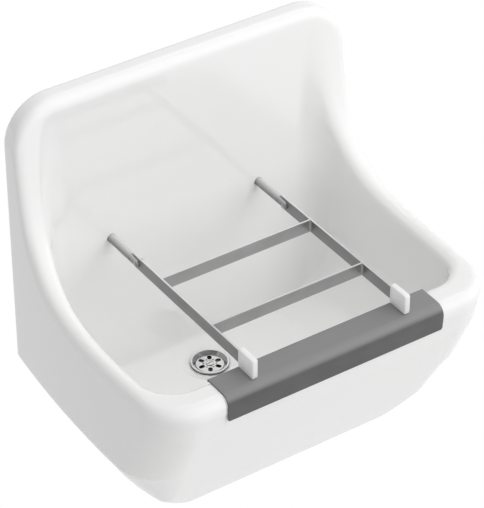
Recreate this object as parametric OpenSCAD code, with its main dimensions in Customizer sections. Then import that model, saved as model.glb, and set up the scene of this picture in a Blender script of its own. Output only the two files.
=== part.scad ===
// Wall-hung cleaner's sink: a glazed fireclay basin with a high back, a hinged bucket
// grate on two rods, a folded steel guard over the front rim and a strainer waste.
// The origin lies on the wall face, midway between the two hanger brackets and at the
// height of the hinge rods. +X is to the right as you face the sink, -Y comes out of the
// wall and +Z is up. Lengths out from the wall are called "out" below.

/* [Basin] */
// Width of the basin where it is widest
basin_w = 555; // [520:1:620]
// How much narrower the basin is against the wall, at each side
wall_taper = 13; // [0:0.5:20]
// How far out the basin is widest
widest_out = 220; // [180:1:260]
// How far out the front of the rim lies
basin_out = 401; // [390:1:450]
// Height of the top of the back above the hinge rods
back_top = 255; // [220:1:320]
// Depth of the underside below the hinge rods
underside = 281; // [270:1:320]
// Height of the bowl's floor above the underside, at the foot of its walls
base_h = 48; // [44:1:70]
// Radius of the two top corners of the back
corner_r = 66; // [40:1:90]
// Thickness of the high back
back_t = 34; // [30:1:42]
// Depth of the low rim's crown below the hinge rods
rim_drop = 16; // [13:1:22]
// How high the rim sweeps up the back above its low part
sweep_h = 162; // [120:1:180]
// How quickly that sweep dies away towards the front
sweep_l = 44; // [35:1:60]
// Thickness of the side walls at the rim
side_t = 28; // [26:1:36]
// Thickness of the front wall at the rim
front_t = 48; // [42:1:56]
// Plan radius of the basin's two front corners
front_r = 59; // [45:1:75]
// How far the underside is drawn in at each side
side_draw = 102; // [80:1:120]
// How far the underside is drawn in at the front, besides the front's lean
front_draw = 55; // [40:1:70]
// Run of the front's lean for each unit of its height
front_lean = 0.234; // [0.15:0.005:0.3]

/* [Edge guard] */
// Length of the guard along the front rim
guard_l = 350; // [250:1:380]
// Thickness of the guard's steel sheet
guard_sheet = 2; // [1:0.1:2.5]
// Height of the guard's front flange
guard_h = 38; // [28:1:50]
// Outer radius of the guard's front bend
guard_r = 16; // [10:0.5:20]
// Depth of the short lip folded down along the guard's rear edge
guard_lip = 5; // [3:0.5:9]
// Thickness of the bedding under the guard
bedding_t = 1; // [0.5:0.1:1.5]

/* [Grate] */
// Width of the grate over its side bars
grate_w = 250; // [220:1:290]
// Height of the flat bar
bar_h = 20; // [16:0.5:24]
// Thickness of the flat bar
bar_t = 3; // [2.5:0.1:4]
// How far out the hinge's axis lies
pivot_out = 103.5; // [95:0.5:120]
// How far out the rear cross bar's front face lies
rear_bar_out = 165; // [145:1:190]
// How far out the front cross bar's front face lies
front_bar_out = 287.5; // [240:0.5:330]
// How far the caps' front ends lie behind the front of the rim
cap_back = 12; // [5:1:21]
// Length of the plastic end caps
cap_l = 35; // [24:1:45]
// Width of the plastic end caps
cap_w = 8.6; // [7:0.1:12]
// Height of the caps above the flat bar
cap_up = 7; // [3:0.5:10]
// Diameter of the hinge rods
rod_d = 12.7; // [9:0.1:13]
// Diameter of the pivot pins
pivot_d = 5; // [4:0.5:6]
// Clearance around a pivot pin in its bar, on the radius
pivot_gap = 0.05; // [0.02:0.01:0.1]

/* [Waste] */
// How far out the waste's centre lies
waste_out = 92; // [86:1:140]
// Diameter of the waste's flange
flange_d = 58; // [56:0.5:64]
// Diameter of the strainer plate
strainer_d = 42; // [40:0.5:44]
// Outer diameter of the outlet's male thread
tail_d = 47.8; // [42:0.1:50]
// Length of the outlet's male thread
tail_l = 34; // [25:1:60]

/* [Hangers] */
// How far in from the basin's edge the middle of each hanger bracket lies
hanger_in = 89.5; // [80:0.5:95]
// Distance between a bracket's two screw holes
hanger_pitch = 40; // [30:1:46]
// Diameter of a bracket's screw holes
hanger_hole_d = 9; // [6:0.5:11]
// Width of a hanger bracket
hanger_w = 40; // [30:1:44]
// Thickness of the hanger's steel strip
hanger_t = 3; // [2:0.5:4]

/* [Hidden] */
$fn = 48;

// --- Basin skin -------------------------------------------------------------------
wall_w = basin_w - 2 * wall_taper;
// Depth of the bowl's floor below the hinge rods, at the foot of its walls
floor_drop = underside - base_h;
// Half thickness of the rim's roll, and the depth at which the walls turn into it
rim_r = 13.5;
wall_top = rim_drop + rim_r + 9;
// Extra thickness of the side walls where they run into the back
swell = 16;
// Plan radii: outer corner at the wall, inner corner at the back, inner front corner
wall_corner_r = 4;
back_fillet_r = 34;
bowl_corner_r = 47;
// Heights over which the outside is drawn in above the underside
side_draw_h = 117;
front_draw_h = 205;
// How far the bowl is drawn in at its floor, and over what height
bowl_side_draw = 60;
bowl_front_draw = 33;
bowl_draw_h = 100;
bowl_lean = 0.2;
// Fall of the floor from the foot of its walls to the waste
floor_fall = 3;
// Stations along one half of a ring: back, rear corner, side, front corner, front
n_back = 2;
n_rear = 4;
n_side = 14;
n_corner = 7;
n_front = 2;
// Levels of the outside, of the rim's roll and of the bowl's wall
n_outside = 10;
n_rim = 8;
n_bowl = 9;

function clamp01(u) = min(1, max(0, u));
function half_w(out) = basin_w / 2 - wall_taper * pow((out - widest_out) / widest_out, 2);
// Height of the rim's crown at a distance out from the wall
function crown(out) = -rim_drop + sweep_h * exp(-(max(out, back_t) - back_t) / sweep_l);
// Draw-in of a wall: nothing at the top of its height h, the whole draw at its foot
function draw_in(draw, power, above_foot, h) =
    draw * (1 - pow(1 - pow(clamp01(1 - above_foot / h), power), 1 / power));
function outer_side_in(z) = draw_in(side_draw, 1.2, z + underside, side_draw_h);
function outer_front_in(z) =
    draw_in(front_draw, 1.1, z + underside, front_draw_h) + front_lean * max(0, -wall_top - z);
function bowl_side_in(z) = draw_in(bowl_side_draw, 1.5, z + floor_drop, bowl_draw_h);
function bowl_front_in(z) =
    draw_in(bowl_front_draw, 1.5, z + floor_drop, bowl_draw_h) + bowl_lean * max(0, -wall_top - z);

// Half of a ring from the middle of its back to the middle of its front, as [x, out]:
// off is the inset of the sides, swell_here their extra thickness near the back.
function half_ring(off, swell_here, back_out, rear_r, front_out, corner) =
    let (
        side_x = function (out)
            half_w(out) - off - swell_here * exp(-(max(out, back_t) - back_t) / sweep_l),
        rear_x = side_x(back_out + rear_r) - rear_r,
        corner_out = front_out - corner,
        corner_x = side_x(corner_out) - corner
    )
    concat(
        [for (i = [0 : n_back - 1]) [rear_x * i / n_back, back_out]],
        [for (i = [0 : n_rear]) let (a = 90 * i / n_rear)
            [rear_x + rear_r * sin(a), back_out + rear_r * (1 - cos(a))]],
        [for (i = [1 : n_side - 1]) let (
                s = pow(i / n_side, 1.4),
                out = back_out + rear_r + (corner_out - back_out - rear_r) * s
            ) [side_x(out), out]],
        [for (i = [0 : n_corner]) let (a = 90 * i / n_corner)
            [corner_x + corner * cos(a), corner_out + corner * sin(a)]],
        [for (i = [1 : n_front]) [corner_x * (1 - i / n_front), front_out]]
    );
half_n = n_back + n_rear + n_side + n_corner + n_front + 1;
ring_n = 2 * (half_n - 1);
// The whole ring: the right half forwards, then the left half backwards
function whole(half) = concat(
    half,
    [for (i = [half_n - 2 : -1 : 1]) [-half[i][0], half[i][1]]]
);
function level(ring, z) = [for (p = ring) [p[0], -p[1], z]];

function outer_ring(z) = whole(half_ring(
    outer_side_in(z), 0, 0, wall_corner_r, basin_out - outer_front_in(z),
    max(12, front_r - 0.88 * min(outer_side_in(z), outer_front_in(z)))
));
function bowl_ring(z) = whole(half_ring(
    side_t + bowl_side_in(z), swell * clamp01(1 + (z + wall_top) / 90), back_t, back_fillet_r,
    basin_out - front_t - bowl_front_in(z), bowl_corner_r
));
outer_rim = outer_ring(-wall_top);
inner_rim = bowl_ring(-wall_top);
// The rim's roll: from the outside, over the crown and into the bowl
function rim_ring(t) = [for (i = [0 : ring_n - 1]) let (
        p = outer_rim[i] + (inner_rim[i] - outer_rim[i]) * (1 - cos(t)) / 2,
        up = pow(sin(t), 0.8)
    ) [p[0], -p[1], crown(p[1]) - rim_r * (1 - up)]];
function outside_z(i) = -underside + (underside - wall_top) * pow(i / n_outside, 1.7);
function bowl_z(i) = -wall_top - (floor_drop - wall_top) * pow(i / n_bowl, 0.7);
foot = bowl_ring(-floor_drop);
function dish(s) = [for (p = foot) [p[0] * s, -waste_out - (p[1] - waste_out) * s,
    -floor_drop - floor_fall * (1 - s)]];

skin_rings = concat(
    [for (i = [0 : n_outside]) level(outer_ring(outside_z(i)), outside_z(i))],
    [for (i = [0 : n_rim]) rim_ring(180 * i / n_rim)],
    [for (i = [0 : n_bowl]) level(bowl_ring(bowl_z(i)), bowl_z(i))],
    [dish(0.5)]
);
skin_n = len(skin_rings);
skin_points = concat(
    [for (ring = skin_rings) each ring],
    [[0, -widest_out * 0.7, -underside], [0, -waste_out, -floor_drop - floor_fall]]
);
skin_faces = concat(
    [for (k = [0 : skin_n - 2], i = [0 : ring_n - 1]) let (
            j = (i + 1) % ring_n, a = k * ring_n, b = a + ring_n
        ) each [[a + i, b + j, b + i], [a + i, a + j, b + j]]],
    [for (i = [0 : ring_n - 1]) [(i + 1) % ring_n, i, skin_n * ring_n]],
    [for (i = [0 : ring_n - 1]) let (a = (skin_n - 1) * ring_n)
        [a + i, a + (i + 1) % ring_n, skin_n * ring_n + 1]]
);

// --- Places of the fittings --------------------------------------------------------
rod_x = grate_w / 2 - bar_t / 2;
pocket_depth = 16;
// Margins of a rear pocket: inwards of the rod's axis, beside the hanger and below it
pocket_in = 20;
pocket_side = 4;
pocket_foot = 12;
// Room beside and above the hanger's hook, and the webs between pockets and hollows
hook_side = 2;
hook_over = 3;
web_low = 24;
web_high = 14;
// The rod: its stud's end, the step that the bush bears on and the tongue's shoulder,
// which clears the corners of the bar's square end as the grate is folded up
stud_d = 8;
stud_out = 4;
step_out = back_t - 4;
bush_d = rod_d + 6;
shoulder_gap = 0.6;
bar_rear = pivot_out - bar_h / 2;
shoulder_out = pivot_out - norm([bar_h, bar_h]) / 2 - shoulder_gap;
// The tongue lies on the bar's left. Its near and far faces, from the rod's axis
tongue_near = bar_t / 2 + 0.3;
tongue_far = rod_d / 2 - 0.8;
rod_seal_t = 1.5;
rod_washer_t = 1.6;
rod_washer_d = 24;
rod_nut_t = 6.5;
// A nut's width over its corners, for each unit of its thread
nut_corners = 1.86;
pin_head_t = 1;
pin_head_d = 1.4 * pivot_d;
pivot_side_gap = 0.2;
pivot_washer_t = 1;
pivot_nut_t = 4;
pin_tip = bar_t / 2 + pivot_side_gap + pivot_washer_t + pivot_nut_t + 0.8;
cap_out = basin_out - cap_back;
bar_end = cap_out - 3;
rest_gap = 0.2;
// Hanger: its place, the height of its hook's shelf, its foot and the top of its lip
hanger_span = wall_w - 2 * hanger_in;
shelf_z = hanger_pitch / 2 + 14;
hanger_foot = hanger_pitch / 2 + 14;
lip_h = 12;
hook_top = shelf_z + lip_h;
// Top of the guard's sheet, and the seat it is bedded on
guard_top = -rim_drop + guard_sheet;
seat_z = -rim_drop - bedding_t;
guard_back = basin_out - front_t;
guard_gap = 0.8;
guard_out = basin_out + guard_gap + guard_sheet;
guard_lean = 4;
// Waste: floor level at the waste, its holes and the stack of rings under the floor
floor_z = -floor_drop - floor_fall;
waste_hole_d = 52;
seal_t = 2;
neck_gap = 0.6;
recess_gap = 4;
flange_t = 2;
under_recess = 18;
relief_edge = 40;
relief_foot = 75;
under_z = -underside + under_recess;
seat_drop = 3.5;
neck_l = 16;
plate_drop = 4;
strainer_t = 1.5;
slot_w = 6.6;
slot_l = 1.3;
small_hole_d = 2.6;
screw_d = 6;
screw_head_t = 1.6;
screw_slot_w = 1.2;
screw_l = floor_z - plate_drop - under_z + seal_t + 8;
boss_d = 12;
boss_l = 10;
body_flange_d = 76;
body_flange_t = 4;
body_h = 14;

// --- Ceramic ------------------------------------------------------------------------
module back_outline(inset) {
    half = half_w(back_t) - inset;
    top = back_top - inset;
    r = corner_r - inset;
    translate([-half, -wall_top]) square([2 * half, top - r + wall_top]);
    for (s = [-1, 1]) translate([s * (half - r), top - r]) circle(r, $fn = 64);
    translate([-half + r, top - 2 * r]) square([2 * (half - r), 2 * r]);
}

// The high back: a plate whose front edge is rounded over
module back_plate() {
    edge_r = 12;
    rotate([90, 0, 0]) hull() {
        linear_extrude(back_t - edge_r) back_outline(0);
        for (a = [30, 60, 90])
            translate([0, 0, back_t - edge_r])
                linear_extrude(edge_r * sin(a)) back_outline(edge_r * (1 - cos(a)));
    }
}

// One of the two rear pockets: it holds a hanger and the rod's nut. A rib hangs down
// into the hanger's hook.
module rear_pocket(side) {
    in_x = rod_x - pocket_in;
    out_x = hanger_span / 2 + hanger_w / 2 + pocket_side;
    x0 = side > 0 ? in_x : -out_x;
    hook_x = side * hanger_span / 2 - hanger_w / 2 - hook_side;
    hook_w = hanger_w + 2 * hook_side;
    hook_h = lip_h + hook_over;
    translate([x0, -pocket_depth, -shelf_z - pocket_foot])
        cube([out_x - in_x, pocket_depth + 1, 2 * shelf_z + pocket_foot]);
    translate([hook_x, -pocket_depth, shelf_z - 1]) cube([hook_w, hanger_t + 1, hook_h]);
    translate([hook_x, -hanger_t - 0.3, shelf_z - 1]) cube([hook_w, hanger_t + 1.3, hook_h]);
}

// Wide shallow hollows in the rear face, which leave a flat margin against the wall
module rear_relief(z0, z1) {
    w = wall_w - 2 * relief_edge;
    translate([-w / 2, -pocket_depth, z0]) cube([w, pocket_depth + 1, z1 - z0]);
}

// Hollow under the floor, with round corners, where the waste is clamped
module under_relief() {
    r = 40;
    near = 40;
    far = 250;
    half = 140;
    translate([0, 0, -underside - 1]) linear_extrude(under_recess + 1) {
        translate([-half, -far + r]) square([2 * half, far - near - 2 * r]);
        translate([-half + r, -far]) square([2 * (half - r), far - near]);
        for (x = [-half + r, half - r], y = [-near - r, -far + r])
            translate([x, y]) circle(r, $fn = 64);
    }
}

// Cuts the rim down to the guard's seat, with a round front edge inside the guard's bend
module guard_seat_cut() {
    bend = [-guard_out + guard_r, guard_top - guard_r];
    translate([-guard_l / 2 - 1, 0, 0]) rotate([90, 0, 90]) linear_extrude(guard_l + 2)
        difference() {
            translate([-guard_out, bend[1]]) square([guard_out - guard_back + 1, 40]);
            translate(bend) circle(guard_r - guard_sheet - bedding_t);
            translate([bend[0], bend[1] - 1])
                square([guard_out - guard_r - guard_back + 2, seat_z - bend[1] + 1]);
        }
}

module ceramic_basin() {
    color([0.97, 0.97, 0.96])
    difference() {
        union() {
            polyhedron(skin_points, skin_faces, convexity = 10);
            back_plate();
        }
        guard_seat_cut();
        for (side = [-1, 1]) {
            rear_pocket(side);
            translate([side * rod_x, 0, 0]) rotate([90, 0, 0]) {
                cylinder(h = step_out, d = bush_d);
                cylinder(h = back_t + 1, d = rod_d + 0.6);
            }
        }
        rear_relief(-underside + relief_foot, -hanger_foot - web_low);
        rear_relief(hook_top + web_high, back_top - relief_edge);
        under_relief();
        translate([0, -waste_out, -underside - 1])
            cylinder(h = underside, d = waste_hole_d, $fn = 96);
        translate([0, -waste_out, floor_z - seat_drop])
            cylinder(h = 10, d = flange_d + 2 * recess_gap, $fn = 96);
    }
}

// --- Edge guard ----------------------------------------------------------------------
// Section across the rim, as [-out, height]: the rear lip, the top, the bend and the flange
module guard_section() {
    bend = [-guard_out + guard_r, guard_top - guard_r];
    translate([-guard_back - guard_sheet, guard_top - guard_lip]) square([guard_sheet, guard_lip]);
    translate([bend[0], guard_top - guard_sheet])
        square([guard_out - guard_r - guard_back, guard_sheet]);
    translate(bend) intersection() {
        difference() {
            circle(guard_r);
            circle(guard_r - guard_sheet);
        }
        translate([-guard_r, 0]) square(guard_r);
    }
    translate([-guard_out, bend[1]]) rotate(guard_lean)
        translate([0, guard_r - guard_h]) square([guard_sheet, guard_h - guard_r]);
}

module edge_guard() {
    color([0.6, 0.61, 0.62])
    translate([-guard_l / 2, 0, 0]) rotate([90, 0, 90]) linear_extrude(guard_l) guard_section();
}

// Bedding compound between the guard and its seat on the rim
module guard_bedding() {
    bend = [-guard_out + guard_r, guard_top - guard_r];
    color([0.85, 0.85, 0.83])
    translate([-guard_l / 2, 0, 0]) rotate([90, 0, 90]) linear_extrude(guard_l) {
        translate([bend[0], seat_z])
            square([guard_out - guard_r - guard_back - guard_sheet, bedding_t]);
        translate(bend) intersection() {
            difference() {
                circle(guard_r - guard_sheet);
                circle(guard_r - guard_sheet - bedding_t);
            }
            translate([-guard_r, 0]) square(guard_r);
        }
    }
}

// --- Hinge rods and their fixing -------------------------------------------------------
// Draws its children with their z axis pointing out of the wall, on a rod's axis
module on_rod(side) translate([side * rod_x, 0, 0]) rotate([90, 0, 0]) children();
// Draws its children with their z axis along +X, on the pivot of a rod
module on_pivot(side) translate([side * rod_x, -pivot_out, 0]) rotate([0, 90, 0]) children();

module hinge_rod(side) {
    color([0.7, 0.71, 0.72])
    difference() {
        union() {
            on_rod(side) {
                translate([0, 0, stud_out]) cylinder(h = step_out - stud_out, d = stud_d);
                translate([0, 0, step_out]) cylinder(h = shoulder_out - step_out, d = rod_d);
            }
            intersection() {
                on_rod(side) translate([0, 0, shoulder_out])
                    cylinder(h = pivot_out + rod_d / 2 - shoulder_out, d = rod_d);
                union() {
                    translate([side * rod_x - tongue_far, -pivot_out, -rod_d / 2])
                        cube([tongue_far - tongue_near, pivot_out - shoulder_out + 1, rod_d]);
                    on_pivot(side) translate([0, 0, -tongue_far])
                        cylinder(h = tongue_far - tongue_near, d = rod_d);
                }
            }
        }
        on_pivot(side) translate([0, 0, -rod_d]) cylinder(h = 2 * rod_d, d = pivot_d);
    }
}
module left_hinge_rod() hinge_rod(-1);
module right_hinge_rod() hinge_rod(1);

// Rubber bushes in the ceramic, squeezed between the rods' shoulders and the washers
module rod_bushes() {
    color([0.25, 0.25, 0.26])
    for (side = [-1, 1]) on_rod(side) translate([0, 0, pocket_depth]) difference() {
        cylinder(h = step_out - pocket_depth, d = bush_d);
        translate([0, 0, -1]) cylinder(h = step_out, d = stud_d);
    }
}

module washer(from_out, t, d, hole) {
    translate([0, 0, from_out - t]) difference() {
        cylinder(h = t, d = d);
        translate([0, 0, -1]) cylinder(h = t + 2, d = hole);
    }
}
module rod_seals() {
    color([0.2, 0.2, 0.2])
    for (side = [-1, 1]) on_rod(side) washer(pocket_depth, rod_seal_t, rod_washer_d, stud_d);
}
module rod_washers() {
    color([0.75, 0.76, 0.77])
    for (side = [-1, 1]) on_rod(side)
        washer(pocket_depth - rod_seal_t, rod_washer_t, rod_washer_d, stud_d);
}
module rod_nuts() {
    color([0.75, 0.76, 0.77])
    for (side = [-1, 1]) on_rod(side)
        translate([0, 0, pocket_depth - rod_seal_t - rod_washer_t - rod_nut_t]) difference() {
            cylinder(h = rod_nut_t, d = nut_corners * stud_d, $fn = 6);
            translate([0, 0, -1]) cylinder(h = rod_nut_t + 2, d = stud_d);
        }
}

// Shoulder pins: a flat head against the tongue and a threaded tip beyond the bar
module pivot_pins() {
    color([0.78, 0.79, 0.8])
    for (side = [-1, 1]) on_pivot(side) {
        translate([0, 0, -tongue_far - pin_head_t]) cylinder(h = pin_head_t, d = pin_head_d);
        translate([0, 0, -tongue_far]) cylinder(h = tongue_far + pin_tip, d = pivot_d);
    }
}
module pivot_washers() {
    color([0.75, 0.76, 0.77])
    for (side = [-1, 1]) on_pivot(side)
        washer(bar_t / 2 + pivot_side_gap + pivot_washer_t, pivot_washer_t, 2 * pivot_d, pivot_d);
}
module pivot_nuts() {
    color([0.78, 0.79, 0.8])
    for (side = [-1, 1]) on_pivot(side)
        translate([0, 0, bar_t / 2 + pivot_side_gap + pivot_washer_t]) difference() {
            cylinder(h = pivot_nut_t, d = nut_corners * pivot_d, $fn = 6);
            translate([0, 0, -1]) cylinder(h = pivot_nut_t + 2, d = pivot_d);
        }
}

// --- Grate -----------------------------------------------------------------------------
module side_bar(side) {
    color([0.66, 0.67, 0.68])
    difference() {
        translate([side * rod_x - bar_t / 2, -bar_end, -bar_h / 2])
            cube([bar_t, bar_end - bar_rear, bar_h]);
        on_pivot(side) translate([0, 0, -bar_t]) cylinder(h = 2 * bar_t, r = pivot_d / 2 + pivot_gap);
    }
}
module left_side_bar() side_bar(-1);
module right_side_bar() side_bar(1);

module cross_bar(out) {
    color([0.72, 0.73, 0.74])
    translate([-grate_w / 2 + bar_t, -out, -bar_h / 2]) cube([grate_w - 2 * bar_t, bar_t, bar_h]);
}
module front_cross_bar() cross_bar(front_bar_out);
module rear_cross_bar() cross_bar(rear_bar_out);

// Moulded caps pushed over the bars' front ends; they rest on the guard
module cap(side) {
    r = 2;
    edge = 1;
    top = bar_h / 2 + cap_up;
    bottom = guard_top + rest_gap;
    color([0.95, 0.95, 0.94])
    translate([side * rod_x, -cap_out + cap_l / 2, 0]) difference() {
        hull() for (sx = [-1, 1], sy = [-1, 1])
            translate([sx * (cap_w / 2 - r), sy * (cap_l / 2 - r), bottom]) {
                translate([0, 0, edge]) cylinder(h = top - bottom - 2 * edge, r = r, $fn = 32);
                cylinder(h = top - bottom, r = r - edge, $fn = 32);
            }
        translate([-bar_t / 2, cap_out - bar_end - cap_l / 2, -bar_h / 2]) cube([bar_t, cap_l, bar_h]);
    }
}
module left_cap() cap(-1);
module right_cap() cap(1);

// --- Hangers ----------------------------------------------------------------------------
// Strip-steel bracket on the wall. Its hook takes the ceramic's rib; two screw holes.
module hanger(side) {
    lip_out = pocket_depth - 0.5;
    color([0.75, 0.76, 0.74])
    translate([side * hanger_span / 2 - hanger_w / 2, 0, 0]) difference() {
        union() {
            translate([0, -hanger_t, -hanger_foot]) cube([hanger_w, hanger_t, hanger_foot + hook_top]);
            translate([0, -lip_out, shelf_z - hanger_t]) cube([hanger_w, lip_out, hanger_t]);
            translate([0, -lip_out, shelf_z - hanger_t]) cube([hanger_w, hanger_t, hanger_t + lip_h]);
        }
        for (s = [-1, 1]) translate([hanger_w / 2, 1, s * hanger_pitch / 2])
            rotate([90, 0, 0]) cylinder(h = hanger_t + 2, d = hanger_hole_d);
    }
}
module left_hanger() hanger(-1);
module right_hanger() hanger(1);

// --- Waste -------------------------------------------------------------------------------
module at_waste(z) translate([0, -waste_out, z]) children();

// Pressed flange: a cone down to the strainer, a ledge under it and a neck in the hole
module waste_flange() {
    r = flange_d / 2;
    plate_r = strainer_d / 2;
    neck = waste_hole_d / 2 - neck_gap;
    ledge = plate_drop + strainer_t + flange_t;
    color([0.8, 0.81, 0.82])
    at_waste(floor_z) rotate_extrude($fn = 96) polygon([
        [r, -0.3], [r, -seat_drop + seal_t], [neck, -seat_drop + seal_t], [neck, -neck_l],
        [neck - flange_t, -neck_l], [neck - flange_t, -ledge], [plate_r - 2, -ledge],
        [plate_r - 2, flange_t - ledge], [plate_r + 0.3, flange_t - ledge],
        [plate_r + 0.3, -plate_drop], [r - 2, 0.4], [r - 0.6, 0.3]
    ]);
}
module flange_seal() {
    color([0.2, 0.2, 0.2])
    at_waste(floor_z - seat_drop) difference() {
        cylinder(h = seal_t, d = flange_d - 1, $fn = 96);
        translate([0, 0, -1]) cylinder(h = seal_t + 2, d = waste_hole_d - 2 * neck_gap, $fn = 96);
    }
}

// Six oval holes round the screw, and a small one between each two
module strainer_plate() {
    slot_ring = strainer_d / 2 - 7.1;
    small_ring = screw_d / 2 + 6.4;
    color([0.78, 0.79, 0.8])
    at_waste(floor_z - plate_drop - strainer_t) difference() {
        cylinder(h = strainer_t, d = strainer_d, $fn = 96);
        for (a = [0 : 60 : 300]) rotate(a) {
            for (s = [-1, 1])
                translate([slot_ring + s * slot_l, 0, -1]) cylinder(h = 4, d = slot_w);
            translate([slot_ring - slot_l, -slot_w / 2, -1]) cube([2 * slot_l, slot_w, 4]);
            rotate(30) translate([small_ring, 0, -1]) cylinder(h = 4, d = small_hole_d);
        }
        translate([0, 0, -1]) cylinder(h = 4, d = screw_d);
    }
}
module strainer_screw() {
    color([0.75, 0.76, 0.77])
    at_waste(floor_z - plate_drop) difference() {
        union() {
            cylinder(h = screw_head_t, d = 2 * screw_d);
            translate([0, 0, -screw_l]) cylinder(h = screw_l, d = screw_d);
        }
        translate([-screw_d, -screw_slot_w / 2, screw_head_t / 2])
            cube([2 * screw_d, screw_slot_w, screw_head_t]);
    }
}

module underfloor_seal() {
    color([0.2, 0.2, 0.2])
    at_waste(under_z - seal_t) difference() {
        cylinder(h = seal_t, d = body_flange_d - 2, $fn = 96);
        translate([0, 0, -1]) cylinder(h = seal_t + 2, d = waste_hole_d + 2, $fn = 96);
    }
}

// Outlet drawn up against the floor by the screw: flange, boss on three ribs, thread
module waste_body() {
    bore = tail_d / 2 - 3.4;
    color([0.72, 0.72, 0.7])
    at_waste(under_z - seal_t) union() {
        rotate_extrude($fn = 96) polygon([
            [bore, 0], [body_flange_d / 2, 0], [body_flange_d / 2, -body_flange_t],
            [tail_d / 2 + 3, -body_flange_t - 3], [tail_d / 2 + 3, -body_h], [tail_d / 2, -body_h],
            [tail_d / 2, -body_h - tail_l], [bore, -body_h - tail_l]
        ]);
        difference() {
            union() {
                translate([0, 0, -boss_l]) cylinder(h = boss_l, d = boss_d);
                for (a = [0 : 120 : 240]) rotate(a)
                    translate([0, -1.5, -boss_l]) cube([bore + 1, 3, boss_l]);
            }
            translate([0, 0, -boss_l - 1]) cylinder(h = boss_l + 2, d = screw_d);
        }
    }
}

ceramic_basin();
edge_guard();
guard_bedding();
left_hinge_rod();
right_hinge_rod();
rod_bushes();
rod_seals();
rod_washers();
rod_nuts();
pivot_pins();
pivot_washers();
pivot_nuts();
left_side_bar();
right_side_bar();
front_cross_bar();
rear_cross_bar();
left_cap();
right_cap();
left_hanger();
right_hanger();
waste_flange();
flange_seal();
strainer_plate();
strainer_screw();
underfloor_seal();
waste_body();
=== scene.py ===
import math
import bmesh
import bpy
import numpy as np
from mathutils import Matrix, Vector


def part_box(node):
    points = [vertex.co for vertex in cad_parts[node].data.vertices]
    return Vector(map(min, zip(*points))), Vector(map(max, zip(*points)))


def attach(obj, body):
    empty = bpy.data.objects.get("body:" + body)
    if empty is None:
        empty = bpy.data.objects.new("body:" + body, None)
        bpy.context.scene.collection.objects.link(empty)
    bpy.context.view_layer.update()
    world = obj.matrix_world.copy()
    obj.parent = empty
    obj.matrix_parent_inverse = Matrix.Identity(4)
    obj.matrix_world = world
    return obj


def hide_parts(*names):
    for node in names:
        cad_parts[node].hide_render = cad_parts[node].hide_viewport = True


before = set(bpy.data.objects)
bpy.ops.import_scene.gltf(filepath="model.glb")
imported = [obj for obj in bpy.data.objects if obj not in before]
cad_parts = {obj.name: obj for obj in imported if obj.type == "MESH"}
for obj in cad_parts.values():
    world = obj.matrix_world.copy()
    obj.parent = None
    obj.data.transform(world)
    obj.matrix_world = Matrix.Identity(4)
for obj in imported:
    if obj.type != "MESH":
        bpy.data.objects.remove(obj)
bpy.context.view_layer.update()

# The camera of the photograph: it looks down at the sink from its front left. The place and the
# directions come from the straight edges of the grate, and the lens is a long one.
mm = 0.001
photo_azimuth = math.radians(-34.03)
photo_elevation = math.radians(36.35)
camera_place = Vector((-1618.6, -2572.0, 2135.9)) * mm
photo_height_px = 508
focal_px = 2616.9
forward = Vector((
    -math.sin(photo_azimuth) * math.cos(photo_elevation),
    math.cos(photo_azimuth) * math.cos(photo_elevation),
    -math.sin(photo_elevation),
))
camera_data = bpy.data.cameras.new("photo_camera")
camera_data.sensor_width = 36
camera_data.lens = focal_px / photo_height_px * camera_data.sensor_width
camera_data.clip_end = 50
camera = bpy.data.objects.new("photo_camera", camera_data)
bpy.context.collection.objects.link(camera)
camera.rotation_mode = "QUATERNION"
camera.rotation_quaternion = forward.to_track_quat("-Z", "Y")
camera.location = camera_place
bpy.context.scene.camera = camera
bpy.context.scene.view_settings.view_transform = "Standard"


# The studio: a pale floor well below the hung sink, and a surround that is brighter low down, in
# front and at the right. The camera sees both as plain white.
def new_material(name):
    """An empty node material: its node tree, and the Principled shader wired to its output."""
    material = bpy.data.materials.new(name)
    material.use_nodes = True
    tree = material.node_tree
    return material, tree, tree.nodes["Principled BSDF"]


def feed(tree, node, inputs):
    """Gives each of a node's inputs its value, or a link where that is another node's output."""
    for key, value in inputs.items():
        if isinstance(value, bpy.types.NodeSocket):
            tree.links.new(value, node.inputs[key])
        else:
            node.inputs[key].default_value = value


def new_node(tree, kind, inputs, operation=None):
    """A shader node with its inputs set, and with its operation where it is a maths node."""
    node = tree.nodes.new(kind)
    if operation:
        node.operation = operation
    feed(tree, node, inputs)
    return node


def mesh_object(name, points, faces, material=None):
    """An object at the origin from an array of points in metres and a list of faces, which are
    turned to face outwards."""
    mesh = bpy.data.meshes.new(name)
    mesh.from_pydata([tuple(p) for p in np.asarray(points, float)], [], [list(map(int, f)) for f in faces])
    shape = bmesh.new()
    shape.from_mesh(mesh)
    bmesh.ops.recalc_face_normals(shape, faces=shape.faces)
    shape.to_mesh(mesh)
    shape.free()
    thing = bpy.data.objects.new(name, mesh)
    bpy.context.collection.objects.link(thing)
    if material:
        mesh.materials.append(material)
    return thing


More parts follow.
